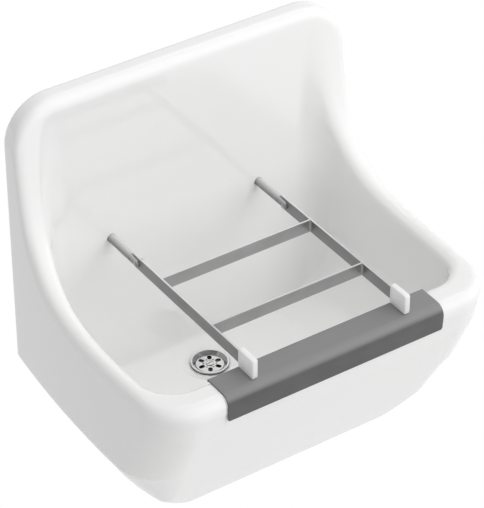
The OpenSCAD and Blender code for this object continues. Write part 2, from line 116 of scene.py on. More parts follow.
white = (1, 1, 1, 1)
floor_height = -0.80
floor_half = 12.0
floor_material, tree, floor_shader = new_material("pale_floor")
feed(tree, floor_shader, {"Base Color": (0.82, 0.82, 0.82, 1), "Roughness": 0.9, "Specular IOR Level": 0})
plain_white = new_node(tree, "ShaderNodeEmission", {"Color": white})
seen = new_node(tree, "ShaderNodeLightPath", {})
direct = new_node(tree, "ShaderNodeMath", {
    0: seen.outputs["Is Camera Ray"], 1: seen.outputs["Is Glossy Ray"],
}, "MAXIMUM")
blend = new_node(tree, "ShaderNodeMixShader", {
    0: direct.outputs[0], 1: floor_shader.outputs[0], 2: plain_white.outputs[0],
})
feed(tree, tree.nodes["Material Output"], {"Surface": blend.outputs[0]})
pale_floor = mesh_object(
    "pale_floor",
    [(-floor_half, -floor_half, floor_height), (floor_half, -floor_half, floor_height),
     (floor_half, floor_half, floor_height), (-floor_half, floor_half, floor_height)],
    [(0, 1, 2, 3)], floor_material,
)

world = bpy.data.worlds.new("studio")
bpy.context.scene.world = world
world.use_nodes = True
tree = world.node_tree
direction = new_node(tree, "ShaderNodeTexCoord", {})
split = new_node(tree, "ShaderNodeSeparateXYZ", {0: direction.outputs["Generated"]})
level = 1
for axis, start, end, level_at_start, level_at_end in (
    ("X", -1, 1, 0.74, 1.26),
    ("Y", -1, 1, 1.3, 0.8),
    ("Z", -0.1, 0.9, 0.84, 0.33),
):
    share = new_node(tree, "ShaderNodeMapRange", {
        "Value": split.outputs[axis], "From Min": start, "From Max": end,
        "To Min": level_at_start, "To Max": level_at_end,
    })
    product = new_node(tree, "ShaderNodeMath", {0: level, 1: share.outputs["Result"]}, "MULTIPLY")
    level = product.outputs[0]
surround = tree.nodes["Background"]
feed(tree, surround, {"Color": white, "Strength": level})
backdrop = new_node(tree, "ShaderNodeBackground", {"Color": white, "Strength": 1})
seen = new_node(tree, "ShaderNodeLightPath", {})
blend = new_node(tree, "ShaderNodeMixShader", {
    0: seen.outputs["Is Camera Ray"], 1: surround.outputs[0], 2: backdrop.outputs[0],
})
feed(tree, tree.nodes["World Output"], {"Surface": blend.outputs[0]})

# Soft lamps: a wide key from the front, right and above, a weaker one from above, and a strip
# high up behind the wall. The strip is the only one that the glaze mirrors, along the rims.
for name, place, width, depth, watts in (
    ("key_softbox", (1.6, -2.9, 2.3), 2.4, 2.4, 39.5),
    ("top_softbox", (0.1, -0.5, 2.8), 1.6, 1.6, 24),
    ("rim_strip", (1.5, 0.9, 2.4), 1.6, 0.5, 2),
):
    lamp = bpy.data.lights.new(name, "AREA")
    lamp.shape = "RECTANGLE"
    lamp.size = width
    lamp.size_y = depth
    lamp.energy = watts
    holder = bpy.data.objects.new(name, lamp)
    bpy.context.collection.objects.link(holder)
    holder.location = place
    aim = Vector((0, -0.2, 0)) - Vector(place)
    holder.rotation_mode = "QUATERNION"
    holder.rotation_quaternion = aim.to_track_quat("-Z", "Y")
    holder.visible_glossy = name.endswith("strip")

# The basin is one piece of fireclay with a thick white glaze. It is cast in a mould, so every
# edge is round: the rim is a roll that sweeps up into the high back.
low, high = np.array(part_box("ceramic_basin"))
basin_half = high[0]
basin_out = -low[1]
back_top = high[2]
underside = -low[2]
wall_half = basin_half - 13 * mm
widest_out = 220 * mm
floor_drop = 233 * mm
floor_fall, fall_run = 3 * mm, 200 * mm
seat_drop, seat_r, seat_run = 3.5 * mm, 46 * mm, 12 * mm
corner_r = 66 * mm
back_t = 34 * mm
plan_least_r, plan_share = 12 * mm, 0.88
foot_round, rear_round, hole_round = 5 * mm, 3 * mm, 2 * mm
rim_drop = 16 * mm
sweep_h = 162 * mm
sweep_l = 44 * mm
side_t = 28 * mm
front_t = 48 * mm
front_r = 59 * mm
side_draw, side_draw_h = 102 * mm, 117 * mm
front_draw, front_draw_h, front_lean = 55 * mm, 205 * mm, 0.234
bowl_side_draw, bowl_front_draw, bowl_draw_h, bowl_lean = 60 * mm, 33 * mm, 100 * mm, 0.2
bowl_corner_r, bowl_foot_r = 47 * mm, 22 * mm
swell, swell_run = 16 * mm, 90 * mm
rim_round = 13.5 * mm
edge_round = 15 * mm
wall_top = 38.5 * mm
back_fillet, foot_fillet = 34 * mm, 6 * mm
fillet_drop, fillet_run = 225 * mm, 80 * mm
waste_out = 92 * mm
waste_hole_r = 26 * mm
hollow_depth, hollow_margin, hollow_r, hollow_round = 16 * mm, 40 * mm, 10 * mm, 6 * mm
hollow_heights = ((-206 * mm, -58 * mm), (60 * mm, back_top - 40 * mm))
under_depth, under_half, under_r = 18 * mm, 140 * mm, 40 * mm
under_out, under_reach = 145 * mm, 105 * mm
guard_half, guard_gap = 175 * mm, 1 * mm
guard_seat, guard_seat_out = 1 * mm, 340 * mm


def rounded_and(a, b, r):
    """The larger of two distances; where both are near nought the corner is a round of radius r."""
    outside = np.hypot(np.maximum(a + r, 0), np.maximum(b + r, 0))
    return outside + np.minimum(np.maximum(a, b) + r, 0) - r


def rounded_or(a, b, r):
    """The smaller of two distances; the hollow corner between them is a fillet of radius r."""
    return -rounded_and(-a, -b, r)


def ease(t):
    """A smooth step from nought to one."""
    t = np.clip(t, 0, 1)
    return t * t * (3 - 2 * t)


def half_width(out):
    """The basin's half width, a parabola that is widest a little in front of the middle."""
    return basin_half - (basin_half - wall_half) * ((out - widest_out) / widest_out) ** 2


def sweep(out):
    """A share that is one at the back's face and falls off exponentially in front of it."""
    return np.exp(-(np.maximum(out, back_t) - back_t) / sweep_l)


def crown(out):
    """Height of the rim's crown: level in front, and swept up at the back."""
    return -rim_drop + sweep_h * sweep(out)


def draw_in(draw, power, above_foot, height):
    """How far a wall is drawn in: a superellipse that starts upright at the top of its height."""
    u = np.clip(1 - above_foot / height, 0, 1)
    return draw * (1 - (1 - u ** power) ** (1 / power))


def side_in(z):
    """How far the outside's flanks are drawn in towards the foot."""
    return draw_in(side_draw, 1.2, z + underside, side_draw_h)


def front_in(z):
    """How far the outside's front is drawn in: a steady lean, and a curve towards the foot."""
    lean = front_lean * np.maximum(0, -wall_top - z)
    return draw_in(front_draw, 1.1, z + underside, front_draw_h) + lean


def bowl_side_in(z):
    """How far the bowl's sides are drawn in towards its floor."""
    return draw_in(bowl_side_draw, 1.5, z + floor_drop, bowl_draw_h)


def bowl_front_in(z):
    """How far the bowl's front is drawn in: a steady lean, and a curve towards the floor."""
    lean = bowl_lean * np.maximum(0, -wall_top - z)
    return draw_in(bowl_front_draw, 1.5, z + floor_drop, bowl_draw_h) + lean


def upright(inset, z):
    """One over the length of a wall's gradient, so that its distance is true where it slopes."""
    step = 0.5 * mm
    return 1 / np.hypot(1, (inset(z + step) - inset(z - step)) / (2 * step))


def hollow_behind(x, out, z, foot, top):
    """A shallow box-shaped hollow in the rear face, as wide as the wall's flat margins leave."""
    within = rounded_and(
        x - wall_half + hollow_margin, np.abs(z - (foot + top) / 2) - (top - foot) / 2, hollow_r
    )
    return rounded_and(within, out - hollow_depth, hollow_round)


def clay(points):
    """Signed distance to the glaze, negative in the clay: the outside's envelope, cut by the
    bowl, by everything in front of the back and above the rim, and by the hollows behind and
    below, with each edge rounded."""
    x = np.abs(points[:, 0])
    out = -points[:, 1]
    z = points[:, 2]
    drawn, leant = side_in(z), front_in(z)
    side = (x - half_width(out) + drawn) * upright(side_in, z)
    front = (out - basin_out + leant) * upright(front_in, z)
    plan_r = np.maximum(plan_least_r, front_r - plan_share * np.minimum(drawn, leant))
    envelope = rounded_and(side, front, plan_r)
    envelope = rounded_and(envelope, z - back_top, corner_r)
    envelope = rounded_and(envelope, -underside - z, foot_round)
    near_back = swell * sweep(out) * np.clip(1 + (z + wall_top) / swell_run, 0, 1)
    bowl_side = (x - half_width(out) + side_t + near_back + bowl_side_in(z)) * upright(bowl_side_in, z)
    bowl_front = (out - basin_out + front_t + bowl_front_in(z)) * upright(bowl_front_in, z)
    from_waste = np.hypot(x, out - waste_out)
    floor = -floor_drop - floor_fall * (1 - ease(from_waste / fall_run))
    floor = floor - seat_drop * ease((seat_r - from_waste) / seat_run)
    bowl = rounded_and(rounded_and(bowl_side, bowl_front, bowl_corner_r), floor - z, bowl_foot_r)
    seat = guard_seat * ease((guard_half + guard_gap - x) / (3 * mm))
    seat = seat * ease((out - guard_seat_out) / (10 * mm))
    above = (z - crown(out) + seat) / np.hypot(1, sweep_h / sweep_l * sweep(out))
    walls = rounded_and(-bowl, above, rim_round)
    fillet = foot_fillet + (back_fillet - foot_fillet) * ease((z + fillet_drop) / fillet_run)
    body = rounded_or(walls, out - back_t, fillet)
    body = rounded_and(rounded_and(body, envelope, edge_round), -out, rear_round)
    for foot, top in hollow_heights:
        body = rounded_and(body, -hollow_behind(x, out, z, foot, top), rear_round)
    under = rounded_and(x - under_half, np.abs(out - under_out) - under_reach, under_r)
    under = rounded_and(under, z + underside - under_depth, hollow_round)
    body = rounded_and(body, -under, rear_round)
    return rounded_and(body, waste_hole_r - from_waste, hole_round)


def distance_gradient(points):
    """The distance and its gradient, by central differences."""
    step = 0.2 * mm
    gradient = np.stack([
        clay(points + step * axis) - clay(points - step * axis) for axis in np.eye(3)
    ], axis=1) / (2 * step)
    return clay(points), gradient


def net_over(distance, lowest, highest, cell):
    """A mesh over the zero surface of a distance: one point in each cell of a grid that the
    surface crosses, and one four-sided face across each grid edge that it cuts."""
    counts = np.ceil((highest - lowest) / cell).astype(int) + 1
    axes = [lowest[i] + cell * np.arange(counts[i]) for i in range(3)]
    grid = np.stack(np.meshgrid(*axes, indexing="ij"), axis=-1)
    value = distance(grid.reshape(-1, 3)).reshape(counts)
    inside = value < 0
    number = np.zeros(counts - 1, int)
    total = np.zeros((*(counts - 1), 3))
    crossings = np.zeros(counts - 1)
    for a in range(8):
        corner_a = [(a >> i) & 1 for i in range(3)]
        part = tuple(slice(c, n - 1 + c) for c, n in zip(corner_a, counts))
        number += inside[part]
        for i in range(3):
            if corner_a[i]:
                continue
            other = list(corner_a)
            other[i] = 1
            far = tuple(slice(c, n - 1 + c) for c, n in zip(other, counts))
            cut = inside[part] != inside[far]
            t = np.where(cut, value[part] / np.where(cut, value[part] - value[far], 1), 0)
            place = grid[part] + (grid[far] - grid[part]) * t[..., None]
            total += np.where(cut[..., None], place, 0)
            crossings += cut
    mixed = (number > 0) & (number < 8)
    index = np.full(mixed.shape, -1)
    index[mixed] = np.arange(mixed.sum())
    points = total[mixed] / crossings[mixed][:, None]
    faces = []
    for i in range(3):
        j, k = (i + 1) % 3, (i + 2) % 3
        near = [slice(None)] * 3
        far = [slice(None)] * 3
        near[i], far[i] = slice(None, -1), slice(1, None)
        starts = np.argwhere(inside[tuple(near)] != inside[tuple(far)])
        outward = inside[tuple(near)][tuple(starts.T)]
        quad = []
        for dj, dk in ((-1, -1), (0, -1), (0, 0), (-1, 0)):
            at = starts.copy()
            at[:, j] += dj
            at[:, k] += dk
            quad.append(index[tuple(at.T)])
        quad = np.stack(quad, axis=1)
        faces.append(np.where(outward[:, None], quad, quad[:, ::-1]))
    return points, np.concatenate(faces)


# Each point of the net then moves along the gradient, five times, until it lies on the glaze.
glaze_cell = 3.9 * mm
margin = 1.37 * glaze_cell
steepness_least = 0.25
points, faces = net_over(clay, low - margin, high + margin, glaze_cell)
for step in range(5):
    value, gradient = distance_gradient(points)
    steepness = np.maximum((gradient ** 2).sum(1), steepness_least)
    points = points - (np.clip(value, -glaze_cell, glaze_cell) / steepness)[:, None] * gradient
points = np.clip(points, low, high)


def glaze_material():
    """White glaze: a hard clear skin over a warm white body, faintly uneven in tone and level."""
    material, tree, shader = new_material("white_glaze")
    where = new_node(tree, "ShaderNodeTexCoord", {}).outputs["Object"]
    clouds = new_node(tree, "ShaderNodeTexNoise", {"Scale": 5, "Detail": 3, "Vector": where})
    tone = new_node(tree, "ShaderNodeValToRGB", {"Fac": clouds.outputs["Fac"]})
    tone.color_ramp.elements[0].color = (0.955, 0.957, 0.95, 1)
    tone.color_ramp.elements[1].color = (0.972, 0.972, 0.967, 1)
    ripple = new_node(tree, "ShaderNodeTexNoise", {"Scale": 28, "Detail": 2, "Vector": where})
    bump = new_node(tree, "ShaderNodeBump", {
        "Strength": 0.05, "Distance": 0.002, "Height": ripple.outputs["Fac"],
    })
    feed(tree, shader, {
        "Base Color": tone.outputs["Color"], "Normal": bump.outputs["Normal"],
        "Roughness": 0.04, "IOR": 1.8,
    })
    return material


# Directions of a piece's own x, y and z: upright, pointing out of the wall, or across the sink.
UP = ((1, 0, 0), (0, 1, 0), (0, 0, 1))
OUT = ((1, 0, 0), (0, 0, 1), (0, -1, 0))
ACROSS = ((0, 1, 0), (0, 0, 1), (1, 0, 0))


def rounded(corners, radii, steps=5):
    """A closed outline of a polygon whose corners are arcs; radii is one radius or one a corner."""
    corners = np.asarray(corners, float)
    radii = np.broadcast_to(radii, len(corners))
    outline = []
    for here, before, after, radius in zip(corners, np.roll(corners, 1, 0), np.roll(corners, -1, 0), radii):
        back = (before - here) / np.linalg.norm(before - here)
        ahead = (after - here) / np.linalg.norm(after - here)
        half = math.acos(np.clip(back @ ahead, -1, 1)) / 2
        if radius <= 0 or half > 1.55:
            outline.append(here)
            continue
        centre = here + (back + ahead) / np.linalg.norm(back + ahead) * radius / math.sin(half)
        start = here + back * radius / math.tan(half) - centre
        end = here + ahead * radius / math.tan(half) - centre
        turn = math.pi - 2 * half
        for t in np.linspace(0, 1, steps + 1):
            arm = (math.sin((1 - t) * turn) * start + math.sin(t * turn) * end) / math.sin(turn)
            outline.append(centre + arm)
    return np.array(outline)


def oblong(low, high, radii, steps=5):
    """The outline of a rectangle from its lower left to its upper right corner, all rounded."""
    (x0, y0), (x1, y1) = low, high
    return rounded([(x0, y0), (x1, y0), (x1, y1), (x0, y1)], radii, steps)


def inset(outline, distance):
    """An anticlockwise outline moved inwards, each point along the bisector of its corner."""
    before = outline - np.roll(outline, 1, 0)
    before /= np.linalg.norm(before, axis=1)[:, None]
    after = np.roll(before, -1, 0)
    normals = np.stack([-before[:, 1] - after[:, 1], before[:, 0] + after[:, 0]], axis=1)
    return outline + distance * normals / (1 + (before * after).sum(1))[:, None]


def skin(name, rings, material=None, hollow=False, sharp=38):
    """An object over rings of points, each joined to the next. The two ends are filled, or the
    last ring is joined to the first where the piece is a hollow one."""
    rings = np.asarray(rings)
    rows, columns = rings.shape[:2]
    row, column = np.meshgrid(np.arange(rows if hollow else rows - 1), np.arange(columns), indexing="ij")
    row, column = row.ravel(), column.ravel()
    next_row, next_column = (row + 1) % rows * columns, (column + 1) % columns
    row = row * columns
    faces = np.stack([
        row + column, row + next_column, next_row + next_column, next_row + column
    ], axis=1).tolist()
    if not hollow:
        faces.append(list(range(columns)))
        faces.append([(rows - 1) * columns + i for i in range(columns)])
    thing = mesh_object(name, rings.reshape(-1, 3), faces, material)
    thing.data.shade_smooth()
    thing.data.set_sharp_from_angle(angle=math.radians(sharp))
    return thing


def plate(name, outline, thickness, edge, origin, directions, material=None):
    """A flat plate from its outline and thickness: rings that are inset along a quarter round at
    both faces, so that every edge is rounded."""
    outline = np.asarray(outline)
    turns = np.linspace(0, math.pi / 2, 4)
    levels = [(edge * (1 - math.sin(a)), edge * (1 - math.cos(a)) - thickness / 2) for a in turns]
    levels += [(shift, -height) for shift, height in reversed(levels)]
    rings = [
        np.column_stack([inset(outline, shift), np.full(len(outline), height)]) for shift, height in levels
    ]
    return skin(name, np.array(rings) @ np.array(directions, float) + np.array(origin), material)


def turned(name, profile, origin, directions, material=None, hollow=False, steps=64, form=None):
    """A turned piece: its profile of radius and height, carried round its own z axis. A form,
    such as a thread or a hexagon, works out the radius all round from the profile's own."""
    angle = np.linspace(0, 2 * math.pi, steps, endpoint=False)
    rings = []
    for r, h in profile:
        radius = form(r, h, angle) if form else r
        rings.append(np.column_stack([radius * np.cos(angle), radius * np.sin(angle), np.full(steps, h)]))
    return skin(name, np.array(rings) @ np.array(directions, float) + np.array(origin), material, hollow)


def cut(thing, cutters, sharp=45):
    """Takes the cutters' shapes out of an object, and removes the cutters."""
    for cutter in cutters:
        hole = thing.modifiers.new("cut", "BOOLEAN")
        hole.operation = "DIFFERENCE"
        hole.solver = "MANIFOLD"
        hole.object = cutter
    shape = thing.evaluated_get(bpy.context.evaluated_depsgraph_get())
    thing.data = bpy.data.meshes.new_from_object(shape)
    thing.modifiers.clear()
    thing.data.shade_smooth()
    thing.data.set_sharp_from_angle(angle=math.radians(sharp))
    for cutter in cutters:
        bpy.data.objects.remove(cutter)


def dressed(thing, body, nodes):
    """Puts a piece on its body, in place of its CAD nodes."""
    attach(thing, body)
    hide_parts(*nodes)


# The two pockets behind the rods are pressed in the wet clay, each with a rib that hangs on a
# wall hook. Each rod has a drilled hole, a little flared at the glaze.
rod_low, rod_high = np.array(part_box("right_hinge_rod"))
rod_x = (rod_low[0] + rod_high[0]) / 2
rod_r = (rod_high[2] - rod_low[2]) / 2
hanger_low, hanger_high = np.array(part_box("right_hanger"))
hanger_x = (hanger_low[0] + hanger_high[0]) / 2
hanger_w = hanger_high[0] - hanger_low[0]
hanger_t = 3 * mm
shelf_z = 34 * mm
white_glaze = glaze_material()
basin = mesh_object("fireclay_basin", points, faces, white_glaze)
cutters = []
past_wall = 5 * mm
pocket_low, pocket_high = rod_x - 20 * mm, hanger_x + hanger_w / 2 + 4 * mm
pocket_foot = -shelf_z - 12 * mm
slot_low, slot_high = hanger_low[0] - 2 * mm, hanger_high[0] + 2 * mm
slot_foot, slot_top = shelf_z - 5 * mm, shelf_z + 14 * mm
slot_t = 4 * mm
for side in (-1, 1):
    for x0, x1, y0, y1, z0, z1, corner in (
        (pocket_low, pocket_high, -hollow_depth, past_wall, pocket_foot, shelf_z, 3 * mm),
        (slot_low, slot_high, -hollow_depth, slot_t - hollow_depth, slot_foot, slot_top, 1 * mm),
        (slot_low, slot_high, -hanger_t - 0.3 * mm, past_wall, slot_foot, slot_top, 1 * mm),
    ):
        corners = [(x0, z0), (x1, z0), (x1, z1), (x0, z1)]
        outline = rounded([(side * x, z) for x, z in corners][::side], corner)
        middle = (0, (y0 + y1) / 2, 0)
        cutters.append(plate("cutter", outline, y1 - y0, 0.9 * mm, middle, OUT))
    hole_r, flare = rod_r + 0.3 * mm, 0.2 * mm
    profile = [(hole_r, 10 * mm), (hole_r, back_t - flare), (hole_r + 2 * flare, back_t + flare)]
    cutters.append(turned("cutter", profile, (side * rod_x, 0, 0), OUT))
cut(basin, cutters)
dressed(basin, "basin", ["ceramic_basin"])


# The stainless guard over the front rim: one sheet, folded down in front round a wide bend, and
# folded in a short lip at the rear. It is finely ground lengthwise and dull.
def metal_material(name, color, metallic, roughness, grain, painted_highlight=None):
    """Worked metal: a fine grain, drawn out along the axis with the smallest scale, varies the polish and
    the level, and slow clouds vary the tone. Where a painted highlight is given, the tone rises to its
    colour on the faces whose normal lies along its direction: painted light on the faces turned to the
    lamps, which leaves the other faces darker as painted shade."""
    material, tree, shader = new_material(name)
    where = new_node(tree, "ShaderNodeTexCoord", {})
    drawn = new_node(tree, "ShaderNodeMapping", {"Vector": where.outputs["Object"], "Scale": grain})
    lines = new_node(tree, "ShaderNodeTexNoise", {
        "Vector": drawn.outputs["Vector"], "Scale": 1, "Detail": 4,
    })
    polish = new_node(tree, "ShaderNodeMapRange", {
        "Value": lines.outputs["Fac"], "To Min": roughness * 0.8, "To Max": roughness * 1.2,
    })
    clouds = new_node(tree, "ShaderNodeTexNoise", {
        "Vector": where.outputs["Object"], "Scale": 22, "Detail": 3,
    })
    tone = new_node(tree, "ShaderNodeValToRGB", {"Fac": clouds.outputs["Fac"]})
    for element, position, share in zip(tone.color_ramp.elements, (0.3, 0.7), (0.93, 1.05)):
        element.position = position
        element.color = (*(share * c for c in color), 1)
    shade = tone.outputs["Color"]
    # Painted highlight: the colour is mixed towards a lighter one by the normal's direction, not by any
    # lamp.
    if painted_highlight:
        first, full, highlight_color, way = painted_highlight
        facing = new_node(
            tree, "ShaderNodeVectorMath", {0: where.outputs["Normal"], 1: way}, "DOT_PRODUCT"
        )
        highlight_share = new_node(tree, "ShaderNodeMapRange", {
            "Value": facing.outputs["Value"], "From Min": first, "From Max": full,
        })
        highlight_share.interpolation_type = "SMOOTHSTEP"
        highlight_mix = tree.nodes.new("ShaderNodeMix")
        highlight_mix.data_type = "RGBA"
        feed(tree, highlight_mix, {"Factor": highlight_share.outputs["Result"], "A": shade, "B": (*highlight_color, 1)})
        shade = highlight_mix.outputs["Result"]
    bump = new_node(tree, "ShaderNodeBump", {
        "Strength": 0.12, "Distance": 0.0004, "Height": lines.outputs["Fac"],
    })
    feed(tree, shader, {
        "Base Color": shade, "Metallic": metallic,
        "Roughness": polish.outputs["Result"], "Normal": bump.outputs["Normal"],
    })
    return material


def bent_path(start, heading, moves, pitch=1.5 * mm):
    """A path in the plane of y and z, from straights, each a length, and bends, each a radius and
    a turn in degrees, to the left where it is positive."""
    points = [np.array(start, float)]
    heading = math.radians(heading)
    for move in moves:
        place = points[-1]
        if np.isscalar(move):
            steps = max(1, int(move / pitch))
            ahead = np.array([math.cos(heading), math.sin(heading)])
            points += [place + ahead * move * i / steps for i in range(1, steps + 1)]
            continue
        radius, turn = move[0] * np.sign(move[1]), math.radians(move[1])
        centre = place + radius * np.array([-math.sin(heading), math.cos(heading)])
        steps = max(4, int(abs(move[1]) / 6))
        for i in range(1, steps + 1):
            now = heading + turn * i / steps
            points.append(centre - radius * np.array([-math.sin(now), math.cos(now)]))
        heading += turn
    return np.array(points)


def strip(name, path, middle_x, half_width, thickness, edge, corners, material=None):
    """A bent strip of sheet: a rounded oblong stands square to its path at every station. The
    oblong narrows at both ends, where the blank's corners are rounded, and thins at the edge."""
    travelled = np.concatenate([[0], np.cumsum(np.linalg.norm(np.diff(path, axis=0), axis=1))])
    total = travelled[-1]
    near = edge * np.array([0, 0.1, 0.3, 0.6, 1])
    shares = np.array([0.05, 0.15, 0.3, 0.5, 0.75, 1])
    ends = [near, total - near, corners[0] * shares, total - corners[1] * shares]
    stations = np.unique(np.concatenate([travelled, *ends]).round(7))
    stations = stations[(stations >= 0) & (stations <= total)]
    path = np.stack([np.interp(stations, travelled, path[:, i]) for i in range(2)], axis=1)
    ahead = np.gradient(path, stations, axis=0)
    ahead /= np.linalg.norm(ahead, axis=1)[:, None]
    rings = []
    for place, way, station in zip(path, ahead, stations):
        gap, corner = min((station, corners[0]), (total - station, corners[1]))
        short = max(0, corner - gap)
        half = half_width - corner + math.sqrt(max(0, corner ** 2 - short ** 2))
        thin = edge - math.sqrt(max(0, edge ** 2 - max(0, edge - gap) ** 2))
        half, deep = half - thin, thickness / 2 - thin
        section = oblong((-half, -deep), (half, deep), 0.9 * min(edge, deep))
        rings.append([(middle_x + x, place[0] - n * way[1], place[1] + n * way[0]) for x, n in section])
    return skin(name, rings, material)


guard_low, guard_high = np.array(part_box("edge_guard"))
guard_top, guard_out, guard_back = guard_high[2], -guard_low[1], -guard_high[1]
guard_sheet = 2 * mm
guard_r = 16 * mm
guard_flange = 22 * mm
guard_lean = 4
lip, lip_r = 5 * mm, 2.6 * mm
half_sheet = guard_sheet / 2
# The guard's top face is painted lighter than its flange: a painted highlight, set by the normal's
# direction.
guard_painted_highlight = (0.6, 1, (0.405, 0.405, 0.408), (0, -0.3, 0.954))
guard_steel = metal_material("guard_steel", (0.145, 0.145, 0.147), 0.7, 0.55, (12, 900, 900), guard_painted_highlight)
guard_path = bent_path((-guard_back - half_sheet, guard_top - lip), 90, [
    lip - lip_r, (lip_r - half_sheet, 90), guard_out - guard_back - guard_r - lip_r,
    (guard_r - half_sheet, 90 + guard_lean), guard_flange,
])
guard = strip(
    "guard_sheet", guard_path, 0, guard_high[0], guard_sheet, 0.6 * mm, (1.5 * mm, 4 * mm), guard_steel,
)
dressed(guard, "basin", ["edge_guard"])


# White compound beds the guard on the glaze. It is pressed out thin under the sheet, and shows
# as a fine line at its two ends.
def plain_material(name, color, roughness, speck, relief):
    """A moulded or set material: even in colour, with a fine grain in its polish and level."""
    material, tree, shader = new_material(name)
    where = new_node(tree, "ShaderNodeTexCoord", {}).outputs["Object"]
    grain = new_node(tree, "ShaderNodeTexNoise", {"Vector": where, "Scale": speck, "Detail": 4})
    polish = new_node(tree, "ShaderNodeMapRange", {
        "Value": grain.outputs["Fac"],
        "To Min": roughness * 0.85, "To Max": min(1, roughness * 1.15),
    })
    bump = new_node(tree, "ShaderNodeBump", {
        "Strength": relief, "Distance": 0.0003, "Height": grain.outputs["Fac"],
    })
    feed(tree, shader, {
        "Base Color": (*color, 1), "Roughness": polish.outputs["Result"],
        "Normal": bump.outputs["Normal"],
    })
    return material


bedding_t, bedding_gap = 1 * mm, 0.2 * mm
white_compound = plain_material("white_compound", (0.74, 0.74, 0.72), 0.6, 700, 0.4)
bedding_r = guard_r - guard_sheet - bedding_t / 2
bedding_path = bent_path(
    (-guard_back - guard_sheet - bedding_gap, guard_top - guard_sheet - bedding_t / 2), 180,
    [guard_out - guard_back - guard_r - guard_sheet - bedding_gap, (bedding_r, 88)],
)
bedding = strip(
    "guard_bedding_line", bedding_path, 0, guard_high[0], bedding_t, 0.35 * mm, (1 * mm, 1 * mm),
    white_compound,
)
dressed(bedding, "basin", ["guard_bedding"])

# The grate's two side bars: flat steel on edge, sawn square, with the edges just broken. Each
# is drilled for its pivot pin.
pin_low, pin_high = np.array(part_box("pivot_pins"))
pivot_out = -(pin_low[1] + pin_high[1]) / 2
pivot_r = 2.5 * mm
pivot_gap = 0.05 * mm
bar_edge = 0.35 * mm
# The bars' top faces are painted near white: a painted highlight on the faces that look up.
bar_painted_highlight = (0.6, 0.95, (0.9, 0.9, 0.9), (0, 0, 1))
bar_steel = metal_material("bar_steel", (0.28, 0.28, 0.283), 0.85, 0.36, (900, 12, 900), bar_painted_highlight)
for hand in ("left", "right"):
    node = hand + "_side_bar"
    bar_low, bar_high = np.array(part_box(node))
    middle = (bar_low + bar_high) / 2
    outline = oblong(bar_low[1:], bar_high[1:], 0.8 * mm)
    bar_t = bar_high[0] - bar_low[0]
    bar = plate(hand + "_flat_bar", outline, bar_t, bar_edge, (middle[0], 0, 0), ACROSS, bar_steel)
    hole = [(pivot_r + pivot_gap, -bar_t), (pivot_r + pivot_gap, bar_t)]
    cut(bar, [turned("cutter", hole, (middle[0], -pivot_out, 0), ACROSS)])
    dressed(bar, "grate", [node])

# The two cross bars are of the same flat bar, ground lengthwise. They stand between the side
# bars, to which they are welded.
# Their steel is painted lighter than the side bars' same steel, as painted light, and their top faces carry
# the same painted highlight.
cross_steel_painted_lighter = metal_material("cross_bar_painted_lighter", (0.48, 0.48, 0.483), 0.85, 0.36, (12, 900, 900), bar_painted_highlight)
for node in ("front_cross_bar", "rear_cross_bar"):
    bar_low, bar_high = np.array(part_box(node))
    middle = (bar_low + bar_high) / 2
    outline = oblong(bar_low[::2], bar_high[::2], 0.4 * mm)
    bar_t = bar_high[1] - bar_low[1]
    bar = plate(node + "_flat", outline, bar_t, bar_edge, (0, middle[1], 0), OUT, cross_steel_painted_lighter)
    dressed(bar, "grate", [node])


# A fillet weld runs up each inside corner where a cross bar meets a side bar. Its hollow face
# ripples along the seam, and it runs out at both ends.
def joined(name, things):
    """One object out of several, with the first one's material."""
    shape = bmesh.new()
    for thing in things:
        shape.from_mesh(thing.data)
    mesh = bpy.data.meshes.new(name)
    shape.to_mesh(mesh)
    shape.free()
    mesh.materials.append(things[0].data.materials[0])
    for thing in things:
        bpy.data.objects.remove(thing)
    whole = bpy.data.objects.new(name, mesh)
    bpy.context.collection.objects.link(whole)
    return whole


weld_size, weld_root, weld_half = 2.4 * mm, 0.1 * mm, 9.4 * mm
ripple_pitch, ripple_share, sag_share = 1.3 * mm, 0.07, 0.12
weld_steel = metal_material("weld_steel", (0.42, 0.41, 0.4), 0.85, 0.42, (500, 500, 500))
welds = []
for node in ("front_cross_bar", "rear_cross_bar"):
    bar_low, bar_high = np.array(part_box(node))
    for corner_x, inwards in ((bar_low[0], 1), (bar_high[0], -1)):
        for corner_y, away in ((bar_low[1], -1), (bar_high[1], 1)):
            rings = []
            for height in np.linspace(-weld_half, weld_half, 70):
                size = weld_size * (1 + ripple_share * math.sin(2 * math.pi * height / ripple_pitch))
                size *= math.sqrt(1.02 - (height / weld_half) ** 8)
                sag = np.sin(np.linspace(0, math.pi, 7)) * sag_share * size
                share = np.linspace(0, 1, 7)
                across = np.concatenate([[-weld_root], size * (1 - share) - sag])
                along = np.concatenate([[-weld_root], size * share - sag])
                rings.append(np.column_stack([
                    corner_x + inwards * across, corner_y + away * along, np.full(8, height)
                ]))
            welds.append(skin("weld", rings, weld_steel, sharp=60))
weld = joined("grate_welds", welds)
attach(weld, "grate")

# White plastic caps are moulded over the front ends of the side bars, as blocks with rounded
# edges. The grate rests on them.
cap_plastic = plain_material("cap_plastic", (0.95, 0.95, 0.94), 0.38, 400, 0.12)
feed(cap_plastic.node_tree, cap_plastic.node_tree.nodes["Principled BSDF"], {
    "Subsurface Weight": 0.8, "Subsurface Radius": (1, 1, 1), "Subsurface Scale": 0.01,
})
for hand in ("left", "right"):
    node = hand + "_cap"
    cap_low, cap_high = np.array(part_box(node))
    outline = oblong(cap_low[1:], cap_high[1:], 3 * mm)
    middle_x = (cap_low[0] + cap_high[0]) / 2
    cap_w = cap_high[0] - cap_low[0]
    cap = plate(hand + "_moulded_cap", outline, cap_w, 1.7 * mm, (middle_x, 0, 0), ACROSS, cap_plastic)
    dressed(cap, "grate", [node])

